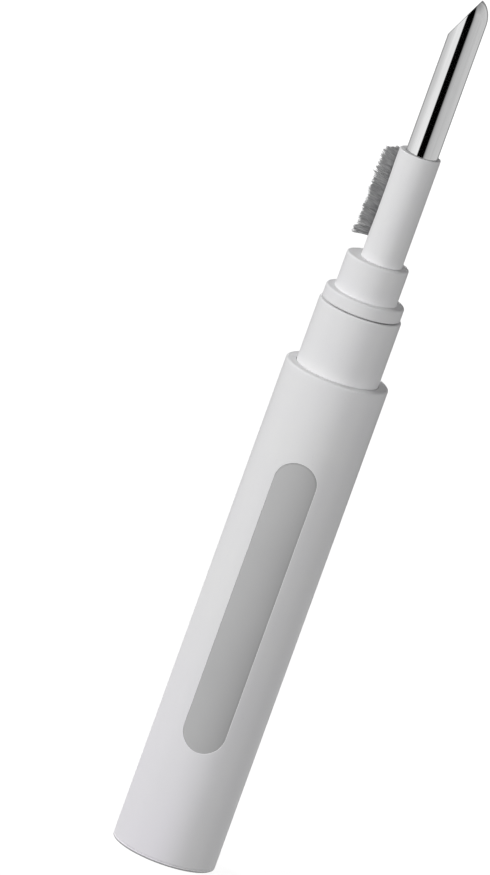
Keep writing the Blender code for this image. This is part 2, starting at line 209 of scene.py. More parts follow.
def white_plastic(name, tone=0.82, seed=0.0, grain=1.0, painted_shade_below=0.0):
    """Satin injection-moulded plastic: a faint spark-eroded grain, soft sink marks, small tone shifts and a faint
    lavender tint painted low on its -X side as a reflection. Below a height it may be darkened grey, painted shade
    along its bottom edge where the pen stands.
    """
    s = Surface(name)
    moved = s.add("ShaderNodeVectorMath", operation="ADD")
    moved.inputs[1].default_value = (seed, seed * 0.7, seed * 1.3)
    s.link(s.place, moved.inputs[0])
    place = moved.outputs["Vector"]
    broad = s.noise(55, 3, 0.55, place)
    cloud = s.noise(420, 4, 0.6, place)
    blend = s.mix(0.35, broad, cloud)
    colour = s.ramp(
        blend,
        [(0.30, (tone * 0.972, tone * 0.968, tone * 0.990)), (0.72, (tone, tone, tone * 0.998))],
    )
    specks = s.ramp(s.noise(5200, 1, 0.5, place), [(0.70, 1.0), (0.80, 0.93)])
    colour = s.mix(1.0, colour, specks, "MULTIPLY")
    # Painted reflection: a faint lavender tint low on the -X side.
    foot = s.add("ShaderNodeSeparateXYZ")
    s.link(s.place, foot.inputs[0])
    painted_reflection_tint = s.maths("MULTIPLY", s.span(foot.outputs["Z"], 1.0, 0.0, 0.006, 0.036), s.span(broad, 0.45, 1.0, 0.35, 0.65))
    painted_reflection_tint = s.maths("MULTIPLY", painted_reflection_tint, s.span(foot.outputs["X"], 1.0, 0.1, -0.001, 0.004))
    colour = s.mix(s.maths("MULTIPLY", painted_reflection_tint, 1.0), colour, (tone * 0.985, tone * 0.962, tone * 1.018))
    if painted_shade_below:
        # Painted shade: the plastic is darkened grey along its bottom edge.
        split = s.add("ShaderNodeSeparateXYZ")
        s.link(s.place, split.inputs[0])
        ragged = s.span(s.noise(1600, 3, 0.6), -0.00004, 0.00004)
        height = s.span(s.maths("ADD", split.outputs["Z"], ragged), 0.0, 1.0, 0.0, 2 * painted_shade_below)
        colour = s.mix(1.0, colour, s.ramp(height, [(0.0, 0.40), (0.36, 0.46), (0.52, 1.0), (1.0, 1.0)]), "MULTIPLY")
    s.link(colour, s.shader.inputs["Base Color"])
    rub = s.noise(900, 5, 0.65, s.mapped((1, 1, 0.16), source=place))
    s.link(s.span(s.mix(0.5, rub, cloud), 0.34, 0.50, 0.25, 0.75), s.shader.inputs["Roughness"])
    fine = s.bump(s.noise(9000, 3, 0.6, place), 0.0000045 * grain, 1.0)
    sink = s.bump(s.noise(130, 2, 0.5, place), 0.000035, 0.5, fine)
    s.link(sink, s.shader.inputs["Normal"])
    s.set(IOR=1.48, Specular_IOR_Level=0.45)
    return s.material


def grip_rubber(name):
    """Matt grey soft-touch film: pebbled fine grain."""
    s = Surface(name)
    pebble = s.cells(5200, s.mapped((1, 1, 1)))
    grain = s.noise(7800, 3, 0.6)
    broad = s.noise(90, 3, 0.5)
    colour = s.ramp(s.mix(0.3, broad, grain), [(0.30, (0.492, 0.492, 0.496)), (0.70, (0.536, 0.536, 0.538))])
    split = s.add("ShaderNodeSeparateXYZ")
    s.link(s.place, split.inputs[0])
    up = s.maths("SUBTRACT", split.outputs["Z"], PILL_Z * MM)
    past = s.maths("MAXIMUM", s.maths("SUBTRACT", s.maths("ABSOLUTE", up), (PILL_LENGTH - PILL_WIDTH) / 2 * MM), 0.0)
    reach = s.maths("SQRT", s.maths("ADD", s.maths("POWER", split.outputs["X"], 2.0), s.maths("POWER", past, 2.0)))
    reach = s.maths("ADD", reach, s.span(s.noise(1300, 3, 0.6), -0.00004, 0.00004))
    # Painted shade: the film's rim is a little darker, more so over its upper end and along its +X side.
    rim = s.span(reach, 0.0, 1.0, (PILL_WIDTH / 2 - 0.34) * MM, (PILL_WIDTH / 2 - 0.10) * MM)
    side = s.maths("ADD", s.span(up, 0.0, 1.0, (PILL_LENGTH / 2 - 3.2) * MM, (PILL_LENGTH / 2 - 0.8) * MM), s.span(split.outputs["X"], 0.0, 0.55, 0.0016, 0.0030))
    shade = s.ramp(s.maths("MULTIPLY", rim, s.maths("MINIMUM", side, 1.0)), [(0.0, 1.0), (1.0, 0.80)])
    s.link(s.mix(1.0, colour, shade, "MULTIPLY"), s.shader.inputs["Base Color"])
    s.link(s.span(grain, 0.58, 0.74), s.shader.inputs["Roughness"])
    height = s.mix(0.5, pebble, grain)
    s.link(s.bump(height, 0.000012, 0.8), s.shader.inputs["Normal"])
    s.set(IOR=1.45, Specular_IOR_Level=0.3)
    return s.material


def steel(name):
    """Polished drawn steel: long faint draw lines, tiny pits and a soft haze in the reflections."""
    s = Surface(name)
    lines = s.noise(2600, 3, 0.6, s.mapped((1, 1, 0.012)))
    haze = s.noise(240, 3, 0.6, s.mapped((1, 1, 0.3)))
    tone = s.ramp(s.mix(0.5, lines, haze), [(0.34, (0.700, 0.703, 0.707)), (0.62, (0.830, 0.830, 0.831))])
    s.link(tone, s.shader.inputs["Base Color"])
    s.link(s.span(s.mix(0.55, haze, lines), 0.030, 0.085, 0.3, 0.7), s.shader.inputs["Roughness"])
    pits = s.ramp(s.cells(1500), [(0.02, 0.0), (0.07, 1.0)])
    scored = s.bump(lines, 0.0000010, 0.35)
    s.link(s.bump(pits, 0.0000005, 0.10, scored), s.shader.inputs["Normal"])
    s.set(Metallic=1.0)
    return s.material


def ground_steel(name):
    """The same steel where the slanting face was ground: a greyer, cross-scratched matt finish."""
    s = Surface(name)
    scratches = s.noise(5200, 3, 0.6, s.mapped((0.08, 1, 1), (0, math.radians(25), 0)))
    haze = s.noise(700, 3, 0.6)
    s.link(
        s.ramp(s.mix(0.5, scratches, haze), [(0.30, (0.34, 0.34, 0.35)), (0.70, (0.50, 0.50, 0.51))]),
        s.shader.inputs["Base Color"],
    )
    s.link(s.span(scratches, 0.24, 0.42, 0.3, 0.7), s.shader.inputs["Roughness"])
    s.link(s.bump(scratches, 0.000003, 0.6), s.shader.inputs["Normal"])
    s.set(Metallic=1.0)
    return s.material


def bristle_nylon(name):
    """Dark grey crimped nylon: streaks along each filament, paler towards the filaments' tips."""
    s = Surface(name)
    turned_place = s.mapped((1, 1, 1), (0, 0, math.radians(-BRUSH_AZIMUTH)))
    along = s.mapped((0.09, 1, 1), source=turned_place)
    strand = s.noise(6500, 2, 0.6, along)
    clump = s.noise(900, 3, 0.55, s.mapped((0.35, 1, 1), source=turned_place))
    split = s.add("ShaderNodeSeparateXYZ")
    s.link(turned_place, split.inputs[0])
    tips = s.span(split.outputs["X"], 0.0, 1.0, 0.0010, 0.0052)
    base = s.ramp(s.mix(0.45, strand, clump), [(0.34, (0.060, 0.060, 0.063)), (0.50, (0.200, 0.200, 0.204)), (0.66, (0.410, 0.410, 0.414))])
    s.link(s.mix(s.maths("MULTIPLY", tips, 0.35), base, (0.42, 0.42, 0.425)), s.shader.inputs["Base Color"])
    s.link(s.span(strand, 0.40, 0.62), s.shader.inputs["Roughness"])
    s.link(s.bump(strand, 0.000008, 0.5), s.shader.inputs["Normal"])
    s.set(IOR=1.53, Specular_IOR_Level=0.5, Sheen_Weight=0.25, Sheen_Roughness=0.4)
    return s.material


def flock(name):
    """Velvet flock: painted shade darkens the fibres' roots and a painted sheen makes their tips pale, so it is dark
    face on and pale along its sides.
    """
    s = Surface(name)
    split = s.add("ShaderNodeSeparateXYZ")
    s.link(s.place, split.inputs[0])
    below = s.maths("MINIMUM", s.maths("SUBTRACT", split.outputs["Z"], (SPONGE_BOTTOM + SPONGE_R) * MM), 0.0)
    square = [s.maths("POWER", value, 2.0) for value in (split.outputs["X"], split.outputs["Y"], below)]
    reach = s.maths("SQRT", s.maths("ADD", s.maths("ADD", square[0], square[1]), square[2]))
    height = s.span(reach, 0.0, 1.0, (SPONGE_R - 0.04 - PILE) * MM, (SPONGE_R - 0.04) * MM)
    pile = s.noise(9000, 4, 0.7)
    brushed = s.noise(420, 4, 0.65, s.mapped((1, 1, 0.45)))
    height = s.maths("MAXIMUM", height, s.span(split.outputs["Z"], 0.0, 0.62, (SPONGE_TOP - 0.8) * MM, (SPONGE_TOP - 0.3) * MM))
    # Painted shade and sheen: near black at the fibres' roots, near white at their tips, and the flat top end gets a
    # pale tip colour.
    painted_shade_and_sheen = s.ramp(height, [(0.0, (0.045, 0.045, 0.046)), (0.34, (0.110, 0.110, 0.112)), (0.56, (0.50, 0.50, 0.503)), (0.80, (0.96, 0.96, 0.965))])
    mottle = s.ramp(s.mix(0.45, brushed, pile), [(0.34, 0.66), (0.62, 1.06)])
    s.link(s.mix(1.0, painted_shade_and_sheen, mottle, "MULTIPLY"), s.shader.inputs["Base Color"])
    s.link(s.span(pile, 0.88, 1.0), s.shader.inputs["Roughness"])
    s.link(s.bump(pile, 0.00003, 0.8), s.shader.inputs["Normal"])
    s.set(Specular_IOR_Level=0.1, Sheen_Weight=1.0, Sheen_Roughness=0.30, Sheen_Tint=(1.0, 1.0, 1.0, 1))
    return s.material


def adhesive(name):
    s = Surface(name)
    web = s.noise(3200, 4, 0.6)
    s.link(s.ramp(web, [(0.35, (0.66, 0.63, 0.53)), (0.65, (0.76, 0.73, 0.64))]), s.shader.inputs["Base Color"])
    s.link(s.span(web, 0.45, 0.7), s.shader.inputs["Roughness"])
    s.link(s.bump(web, 0.00001, 0.6), s.shader.inputs["Normal"])
    return s.material


barrel_white = white_plastic("white_plastic_barrel", 0.83, 0.0)
insert_white = white_plastic("white_plastic_insert", 0.83, 0.31, 0.8)
# The cap's paler tone is a painted highlight along its lip; its lowest edge carries painted shade.
cap_painted_light_and_shade = white_plastic("white_plastic_cap", 0.92, 0.0, painted_shade_below=0.00029)
# A paler copy of the plastic: a painted highlight for the faces along the grip pocket's edge.
painted_highlight_white = white_plastic("white_plastic_painted_highlight", 0.93, 0.12, 0.5)
grip_mat = grip_rubber("grip_pad_film")
steel_mat = steel("polished_steel_drawn")
ground_mat = ground_steel("polished_steel_ground")
nylon_mat = bristle_nylon("bristle_nylon_dark")
block_mat = white_plastic("bristle_block_grey", 0.20, 0.77)
flock_mat = flock("flocked_foam_velvet")
adhesive_mat = adhesive("adhesive_film")


# ---- shape helpers ----------------------------------------------------------------------------
def rounded(points, closed=False, segments=5, support=0.09):
    """A profile of (radius, height, rounding) with an arc at each corner that has one, and a point close to each arc's ends, which keeps the long walls' shading straight."""
    made = []
    count = len(points)
    for i, (r, z, size) in enumerate(points):
        here = np.array((r, z), float)
        if size <= 0 or (not closed and i in (0, count - 1)):
            made.append((r, z))
            continue
        before = np.array(points[i - 1][:2], float)
        after = np.array(points[(i + 1) % count][:2], float)
        u, v = before - here, after - here
        lu, lv = np.linalg.norm(u), np.linalg.norm(v)
        u, v = u / lu, v / lv
        half = math.acos(max(-1, min(1, float(u @ v)))) / 2
        reach = min(size / math.tan(half), 0.49 * lu, 0.49 * lv)
        radius = reach * math.tan(half)
        middle = (u + v) / np.linalg.norm(u + v)
        centre = here + middle * radius / math.sin(half)
        first, last = here + u * reach, here + v * reach
        a0 = math.atan2(*(first - centre)[::-1])
        a1 = math.atan2(*(last - centre)[::-1])
        turn = (a1 - a0 + math.pi) % (2 * math.pi) - math.pi
        if lu > 2 * reach + 3 * support:
            made.append(tuple(here + u * (reach + support)))
        for k in range(segments + 1):
            a = a0 + turn * k / segments
            made.append((centre[0] + radius * math.cos(a), centre[1] + radius * math.sin(a)))
        if lv > 2 * reach + 3 * support:
            made.append(tuple(here + v * (reach + support)))
    return made


def mesh_object(name, vertices, faces, mat, sharp=35.0, weld=0.002):
    """An object from vertices in millimetres. Its corners over the sharp angle stay sharp."""
    mesh = bpy.data.meshes.new(name)
    mesh.from_pydata([(x * MM, y * MM, z * MM) for x, y, z in vertices], [], faces)
    bm = bmesh.new()
    bm.from_mesh(mesh)
    if weld:
        bmesh.ops.remove_doubles(bm, verts=bm.verts, dist=weld * MM)
    bmesh.ops.dissolve_degenerate(bm, dist=0.0002 * MM, edges=bm.edges)
    loose = [v for v in bm.verts if not v.link_faces]
    bmesh.ops.delete(bm, geom=loose, context="VERTS")
    bmesh.ops.recalc_face_normals(bm, faces=bm.faces)
    bm.to_mesh(mesh)
    bm.free()
    mesh.shade_smooth()
    mesh.set_sharp_from_angle(angle=math.radians(sharp))
    obj = bpy.data.objects.new(name, mesh)
    scene.collection.objects.link(obj)
    if mat:
        mesh.materials.append(mat)
    return obj


def turned(name, profile, steps, mat, centre=(0.0, 0.0), ring=False, angles=None, shape=None, sharp=35.0):
    """A profile of (radius, height) turned about a vertical axis. shape(r, z, angle) may move a point in or out."""
    angles = angles if angles is not None else [2 * math.pi * i / steps for i in range(steps)]
    vertices, faces = [], []
    rows, columns = len(profile), len(angles)
    for r, z in profile:
        for a in angles:
            radius = shape(r, z, a) if shape else r
            vertices.append((centre[0] + radius * math.cos(a), centre[1] + radius * math.sin(a), z))
    for i in range(rows if ring else rows - 1):
        for j in range(columns):
            k, n = (i + 1) % rows, (j + 1) % columns
            faces.append((i * columns + j, i * columns + n, k * columns + n, k * columns + j))
    return mesh_object(name, vertices, faces, mat, sharp)


def boolean(obj, cutter, operation="DIFFERENCE"):
    step = obj.modifiers.new("cut", "BOOLEAN")
    step.object = cutter
    step.operation = operation
    step.solver = "EXACT"
    bpy.context.view_layer.update()
    mesh = bpy.data.meshes.new_from_object(obj.evaluated_get(bpy.context.evaluated_depsgraph_get()))
    obj.modifiers.clear()
    old = obj.data
    mesh.name = old.name
    obj.data = mesh
    bpy.data.meshes.remove(old)
    bpy.data.objects.remove(cutter, do_unlink=True)


def softened(obj, width, limit=38.0, segments=2, sharp=35.0):
    """The hard edges left by a cut, given a small rounding, then shaded with weighted normals."""
    bm = bmesh.new()
    bm.from_mesh(obj.data)
    bmesh.ops.remove_doubles(bm, verts=bm.verts, dist=0.001 * MM)
    bmesh.ops.dissolve_degenerate(bm, dist=0.0005 * MM, edges=bm.edges)
    hard = [e for e in bm.edges if len(e.link_faces) == 2 and e.calc_face_angle(0) > math.radians(limit)]
    if width and hard:
        bmesh.ops.bevel(
            bm,
            geom=hard,
            offset=width * MM,
            segments=segments,
            profile=0.5,
            affect="EDGES",
            clamp_overlap=True,
            material=-1,
        )
    bmesh.ops.recalc_face_normals(bm, faces=bm.faces)
    bm.to_mesh(obj.data)
    bm.free()
    obj.data.shade_smooth()
    obj.data.set_sharp_from_angle(angle=math.radians(sharp))
    weighted = obj.modifiers.new("normals", "WEIGHTED_NORMAL")
    weighted.keep_sharp = True
    weighted.weight = 80


def done(obj, body, slot, *nodes):
    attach(obj, body)
    if nodes:
        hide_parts(*nodes)
    return obj


# ---- barrel -----------------------------------------------------------------------------------
SIDE_STEPS, ARC_STEPS = 36, 48
STRAIGHT = (PILL_LENGTH - PILL_WIDTH) / 2
FIELD_W, FIELD_H = 4.9, PILL_LENGTH / 2 + 2.6  # the patch of wall that the pocket's mesh fills
side_heights = [-STRAIGHT + 2 * STRAIGHT * i / SIDE_STEPS for i in range(SIDE_STEPS + 1)]


def pill_outline(inset):
    """The grip's outline, moved in by inset, as (across, up) points in order round it."""
    r = max(0.0, PILL_WIDTH / 2 - inset)
    points = [(r, z) for z in side_heights]
    for i in range(1, ARC_STEPS):
        a = math.pi * i / ARC_STEPS
        points.append((r * math.cos(a), STRAIGHT + r * math.sin(a)))
    points += [(-r, z) for z in reversed(side_heights)]
    for i in range(1, ARC_STEPS):
        a = math.pi + math.pi * i / ARC_STEPS
        points.append((r * math.cos(a), -STRAIGHT + r * math.sin(a)))
    return points


def field_outline():
    """The patch's outline, with a point for each of the grip outline's points."""
    quarter = ARC_STEPS // 4
    half = []
    for i in range(1, ARC_STEPS):
        if i <= quarter:
            half.append((FIELD_W, STRAIGHT + (FIELD_H - STRAIGHT) * i / quarter))
        elif i < 3 * quarter:
            half.append((FIELD_W - 2 * FIELD_W * (i - quarter) / (2 * quarter), FIELD_H))
        else:
            half.append((-FIELD_W, FIELD_H - (FIELD_H - STRAIGHT) * (i - 3 * quarter) / quarter))
    points = [(FIELD_W, z) for z in side_heights] + half
    points += [(-FIELD_W, z) for z in reversed(side_heights)] + [(-x, -z) for x, z in half]
    return points


def wrapped(points, radius):
    """(across, up) points laid on the barrel's front at a radius."""
    return [(x, -math.sqrt(radius * radius - x * x), PILL_Z + z) for x, z in points]


def strip_faces(rings, start=0):
    count = len(rings[0])
    faces = []
    for k in range(len(rings) - 1):
        for i in range(count):
            n = (i + 1) % count
            a, b = start + k * count, start + (k + 1) * count
            faces.append((a + i, a + n, b + n, b + i))
    return faces


def arc_rings(inset, radius, size, first, last, steps):
    """(inset, radius) pairs round a small fillet whose centre is at inset, radius."""
    return [
        (
            inset + size * math.sin(math.radians(first + (last - first) * i / steps)),
            radius + size * math.cos(math.radians(first + (last - first) * i / steps)),
        )
        for i in range(steps + 1)
    ]


def build_barrel():
    outer, patch = pill_outline(-0.20), field_outline()
    rings = []
    for share in (1.0, 0.62, 0.34, 0.15, 0.05):
        rings.append(
            wrapped([(a[0] + (b[0] - a[0]) * share, a[1] + (b[1] - a[1]) * share) for a, b in zip(outer, patch)], BARREL_R)
        )
    rings.append(wrapped(outer, BARREL_R))
    rings.append(wrapped(pill_outline(-0.10), BARREL_R))
    for inset, radius in arc_rings(-0.035, BARREL_R - 0.035, 0.035, 0, 90, 5):
        rings.append(wrapped(pill_outline(inset), radius))
    for inset, radius in ((0.0, 7.30), (0.0, 7.08), (0.01, 7.03), (0.04, 7.005), (0.10, 7.0), (0.6, 7.0), (1.6, 7.0), (2.5, 7.0), (3.065, 7.0)):
        rings.append(wrapped(pill_outline(inset), radius))
    vertices = [v for ring in rings for v in ring]
    faces = strip_faces(rings)

    # Angles are from -Y, positive towards +X.
    front = [math.asin(x / BARREL_R) for x, z in patch if z == FIELD_H or (x in (FIELD_W, -FIELD_W) and z == side_heights[0])]
    front = sorted(set(round(a, 9) for a in front))
    edge = math.asin(FIELD_W / BARREL_R)
    rest = [edge + (2 * math.pi - 2 * edge) * i / 104 for i in range(1, 104)]
    columns = front + rest
    inside = {i for i in range(len(front) - 1)}
    field_rows = sorted(set(round(PILL_Z + z, 6) for x, z in patch))
    wall = [SEAM_Z + 0.16, 3, 6, 9, 12] + field_rows + [64.5, 66.5, 68.5, 70.5, 72.0]
    wall = [z for z in wall if z <= field_rows[0] or z >= field_rows[-1] or z in field_rows]
    profile = [(CHAMBER_R + 0.02, SEAM_Z + 0.3), (CHAMBER_R + 0.12, SEAM_Z), (BARREL_R - 0.30, SEAM_Z)]
    profile += [
        (BARREL_R - 0.07 + 0.07 * math.sin(math.radians(a)), SEAM_Z + 0.07 - 0.07 * math.cos(math.radians(a)))
        for a in (0, 22, 45, 68, 90)
    ]
    lower = len(profile)
    profile += [(BARREL_R, z) for z in wall]
    upper = len(profile)
    profile += [
        (BARREL_R - 0.34 + 0.34 * math.cos(math.radians(a)), BARREL_TOP - 0.34 + 0.34 * math.sin(math.radians(a)))
        for a in (0, 15, 30, 45, 60, 75, 90)
    ]
    profile += [(BARREL_R - 0.45, BARREL_TOP), (6.30, BARREL_TOP)]
    profile += [(6.16 + 0.10 * math.cos(math.radians(a)), BARREL_TOP - 0.10 + 0.10 * math.sin(math.radians(a))) for a in (90, 120, 150, 180)]
    profile += [(6.06, 72.7), (6.06, 66.0), (6.06, SEAT_Z + 0.05), (CHAMBER_R, SEAT_Z), (CHAMBER_R, 50.0), (CHAMBER_R, 30.0), (CHAMBER_R, 12.0)]
    base = len(vertices)
    count = len(columns)
    for r, z in profile:
        for a in columns:
            vertices.append((r * math.sin(a), -r * math.cos(a), z))
    rows = len(profile)
    for i in range(rows):
        k = (i + 1) % rows
        z0, z1 = profile[i][1], profile[k][1]
        in_field = (
            lower <= i < upper - 1
            and z0 >= field_rows[0] - 1e-5
            and z1 <= field_rows[-1] + 1e-5
        )
        for j in range(count):
            if in_field and j in inside:
                continue
            n = (j + 1) % count
            faces.append((base + i * count + j, base + i * count + n, base + k * count + n, base + k * count + j))
    obj = mesh_object("barrel_body_shell", vertices, faces, barrel_white, 40.0, 0.004)
    obj.data.materials.append(painted_highlight_white)
    # Painted highlight: faces just outside the grip's outline take the paler plastic, a light line round the pocket.
    for face in obj.data.polygons:
        x, y, z = face.center / MM
        past = max(abs(z - PILL_Z) - STRAIGHT, 0.0)
        outside = math.hypot(x, past) - PILL_WIDTH / 2
        if y < 0 and -0.001 < outside < 0.13 and math.hypot(x, y) > BARREL_R - 0.045:
            face.material_index = 1
    return obj


done(build_barrel(), "barrel", "white_plastic", "barrel_shell")


def build_grip():
    """The grip film: a thin pill-shaped pad that follows the barrel, with a rolled edge."""
    rings = []
    for inset, radius in ((3.065, INLAY_INNER), (2.0, INLAY_INNER), (0.6, INLAY_INNER), (0.12, INLAY_INNER)):
        rings.append(wrapped(pill_outline(inset), radius))
    for inset, radius in (
        (0.008, INLAY_INNER + 0.02), (0.006, 7.25), (0.006, 7.425), (0.012, 7.440), (0.03, 7.450), (0.07, 7.455),
        (0.14, 7.458), (0.25, 7.460), (0.60, 7.461), (1.0, 7.462), (1.6, 7.463), (2.3, 7.464), (3.065, 7.465),
    ):
        rings.append(wrapped(pill_outline(inset), radius))
    vertices = [v for ring in rings for v in ring]
    return mesh_object("grip_film", vertices, strip_faces(rings), grip_mat, 50.0)


done(build_grip(), "barrel", "grip_pad", "grip_inlay")

end_cap = turned(
    "end_cap_moulded",
    rounded(
        [
            (0, 1.6, 0),
            (4.3, 1.6, 0.25),
            (4.3, 5.6, 0.1),
            (5.45, 5.6, 0.2),
            (5.45, 0.42, 0.05),
            (BARREL_R - 0.01, 0.42, 0.13),
            (BARREL_R - 0.01, 0.0, 0.20),
            (5.9, 0.0, 0.12),
            (5.75, 0.16, 0.08),
            (0.9, 0.16, 0.06),
            (0.7, 0.10, 0.06),
            (0, 0.10, 0),
        ]
    ),
    144,
    cap_painted_light_and_shade,
)
done(end_cap, "barrel", "white_plastic", "end_cap")

neck = turned(
    "neck_sleeve_moulded",
    rounded(
        [
            (NECK_BORE_R, NECK_TOP, 0.10),
            (NECK_R, NECK_TOP, 0.24),
            (NECK_R, SEAT_Z + 0.15, 0.2),
            (NECK_WIDE_R, SEAT_Z + 0.15, 0.05),
            (NECK_WIDE_R, NECK_WIDE_TOP, 0.1),
            (NECK_BORE_R, NECK_WIDE_TOP + NECK_WIDE_R - NECK_BORE_R, 0.1),
        ],
        closed=True,
    ),
    144,
    barrel_white,
    ring=True,
)
done(neck, "barrel", "white_plastic", "neck_sleeve")

# ---- insert -----------------------------------------------------------------------------------
collar = turned(
    "collar_moulded",
    rounded(
        [
            (SOCKET_R, PLUG_TOP, 0.05),
            (PLUG_R, PLUG_TOP, 0.30),
            (PLUG_R, FLANGE_TOP, 0.14),
            (FLANGE_R, FLANGE_TOP, 0.30),
            (FLANGE_R, FLANGE_BOTTOM, 0.24),
            (PLUG_R, FLANGE_BOTTOM, 0.05),
            (PLUG_R, PLUG_BOTTOM, 0.25),
            (SOCKET_R, PLUG_BOTTOM, 0.05),
        ],
        closed=True,
    ),
    144,
    insert_white,
    ring=True,
)
done(collar, "insert", "white_plastic", "collar")


def facing(towards, centre, z):
    x = towards.normalized()
    y = Vector((0, 0, 1)).cross(x)
    turn = Matrix((x, y, Vector((0, 0, 1)))).transposed().to_4x4()
    return Matrix.Translation(Vector((centre[0], centre[1], z)) * MM) @ turn


def prism(name, outline, low, high, matrix):
    """An outline of (x, z) points in the matrix's XZ plane, pushed along its Y from low to high."""
    count = len(outline)
    vertices = [(x, low, z) for x, z in outline] + [(x, high, z) for x, z in outline]
    faces = [tuple(range(count)), tuple(range(2 * count - 1, count - 1, -1))]
    faces += [(i, (i + 1) % count, count + (i + 1) % count, count + i) for i in range(count)]
    obj = mesh_object(name, vertices, faces, None, weld=0)
    obj.data.transform(matrix)
    return obj


def window_floor(z):
    middle, half = (WINDOW_LOW + WINDOW_HIGH) / 2, (WINDOW_HIGH - WINDOW_LOW) / 2
    share = abs(z - middle) / half
    return SHAFT_R + 0.3 - (SHAFT_R + 0.3 - WINDOW_DEEPEST) * math.sqrt(max(0.0, 1 - share**3))


brush_place = facing(TOWARDS_BRUSH, SHAFT_CENTRE, 0)

shaft = turned(
    "brush_shaft_moulded",
    rounded(
        [
            (0, SHAFT_TOP, 0),
            (SHAFT_R, SHAFT_TOP, 0.18),
            (SHAFT_R, PLUG_TOP + 0.02, 0.05),
            (2.05, PLUG_TOP + 0.02, 0.0),
            (2.0, 84.7, 0.1),
            (0, 84.7, 0),
        ]
    ),
    144,
    insert_white,
    centre=SHAFT_CENTRE[:2],
)
bore = turned(
    "bore_cutter",
    [(0, SHAFT_TOP + 2), (ROD_R + 0.03, SHAFT_TOP + 2), (ROD_R + 0.03, ROD_BORE_BOTTOM), (0, ROD_BORE_BOTTOM)],
    112,
    None,
    centre=ROD_CENTRE[:2],
)
boolean(shaft, bore)
middle, half = (WINDOW_LOW + WINDOW_HIGH) / 2, (WINDOW_HIGH - WINDOW_LOW) / 2
heights = [middle - half * math.cos(math.pi * i / 40) for i in range(41)]
outline = [(window_floor(z), z) for z in heights] + [(SHAFT_R + 2, WINDOW_HIGH), (SHAFT_R + 2, WINDOW_LOW)]
boolean(shaft, prism("window_cutter", outline, -4.5, 4.5, brush_place))


def rounded_slot(low, high, half_width, size, steps=6):
    """(across, up) points of a slot with rounded corners."""
    points = []
    for cx, cz, start in (
        (half_width - size, high - size, 0),
        (-half_width + size, high - size, 90),
        (-half_width + size, low + size, 180),
        (half_width - size, low + size, 270),
    ):
        for i in range(steps + 1):
            a = math.radians(start + 90 * i / steps)
            points.append((cx + size * math.cos(a), cz + size * math.sin(a)))
    return points


slot_points = rounded_slot(91.9, 105.3, 1.52, 0.5)
count = len(slot_points)
slot_vertices = [(0.25, y, z) for y, z in slot_points] + [(4.5, y, z) for y, z in slot_points]
slot_faces = [tuple(range(count)), tuple(range(2 * count - 1, count - 1, -1))]
slot_faces += [(i, (i + 1) % count, count + (i + 1) % count, count + i) for i in range(count)]
slot_cutter = mesh_object("slot_cutter", slot_vertices, slot_faces, None, weld=0)
slot_cutter.data.transform(brush_place)
boolean(shaft, slot_cutter)
softened(shaft, 0.05)
done(shaft, "insert", "white_plastic", "brush_shaft")


def nose(z):
    return ROD_R * math.sqrt(max(0.0, 1 - ((z - NOSE_START) / NOSE_LENGTH) ** 2))


def build_tip():
    heights = [NOSE_START + NOSE_LENGTH * math.sin(math.pi / 2 * i / 28) for i in range(29)]
    profile = [(nose(z), z) for z in reversed(heights)]
    profile += [(ROD_R, z) for z in (125.0, 122.0, 118.0, 114.0, 110.0, 106.5)]
    profile += rounded([(ROD_R, 106.0, 0), (ROD_R, ROD_BOTTOM, 0.3), (0, ROD_BOTTOM, 0)])
    obj = turned("metal_tip_ground", profile, 160, steel_mat, centre=ROD_CENTRE[:2])
    obj.data.materials.append(ground_mat)
    low_side = Vector((math.cos(math.radians(SLANT_AZIMUTH)), math.sin(math.radians(SLANT_AZIMUTH)), 0))
    normal = (low_side * SLANT_SLOPE + Vector((0, 0, 1))).normalized()
    lowest = (ROD_CENTRE + low_side * ROD_R + Vector((0, 0, SLANT_LOW))) * MM
    bm = bmesh.new()
    bm.from_mesh(obj.data)
    cut = bmesh.ops.bisect_plane(
        bm, geom=bm.verts[:] + bm.edges[:] + bm.faces[:], plane_co=lowest, plane_no=normal, clear_outer=True, dist=1e-8
    )
    rim = [e for e in cut["geom_cut"] if isinstance(e, bmesh.types.BMEdge)]
    bmesh.ops.contextual_create(bm, geom=rim)
    bmesh.ops.bisect_plane(
        bm, geom=bm.verts[:] + bm.edges[:] + bm.faces[:], plane_co=lowest - normal * 0.09 * MM, plane_no=normal, dist=1e-8
    )
    bm.to_mesh(obj.data)
    bm.free()
    cutter = prism(
        "shank_cutter", [(0.05, 90.9), (5.0, 90.9), (5.0, 105.45), (0.05, 105.45)], -4, 4, brush_place
    )
    boolean(obj, cutter)
    # The slanting face and a narrow burr beside it carry the ground finish.
    for face in obj.data.polygons:
        if (face.center - lowest).dot(normal) > -0.085 * MM:
            face.material_index = 1
    obj.data.shade_smooth()
    obj.data.set_sharp_from_angle(angle=math.radians(28))
    weighted = obj.modifiers.new("normals", "WEIGHTED_NORMAL")
    weighted.keep_sharp = True
    weighted.weight = 90
    return obj


done(build_tip(), "insert", "polished_steel", "metal_tip")

# ---- brush ------------------------------------------------------------------------------------
block = mesh_object(
    "bristle_block",
    [(x, y, z) for x in (0.3, 1.2) for y, z in rounded_slot(92.75, 105.15, 1.35, 0.35)],
    [tuple(range(count)), tuple(range(2 * count - 1, count - 1, -1))]
    + [(i, (i + 1) % count, count + (i + 1) % count, count + i) for i in range(count)],
    block_mat,
    weld=0,
)
block.data.transform(brush_place)
softened(block, 0.06)
done(block, "insert", "bristle_nylon", "brush_base")


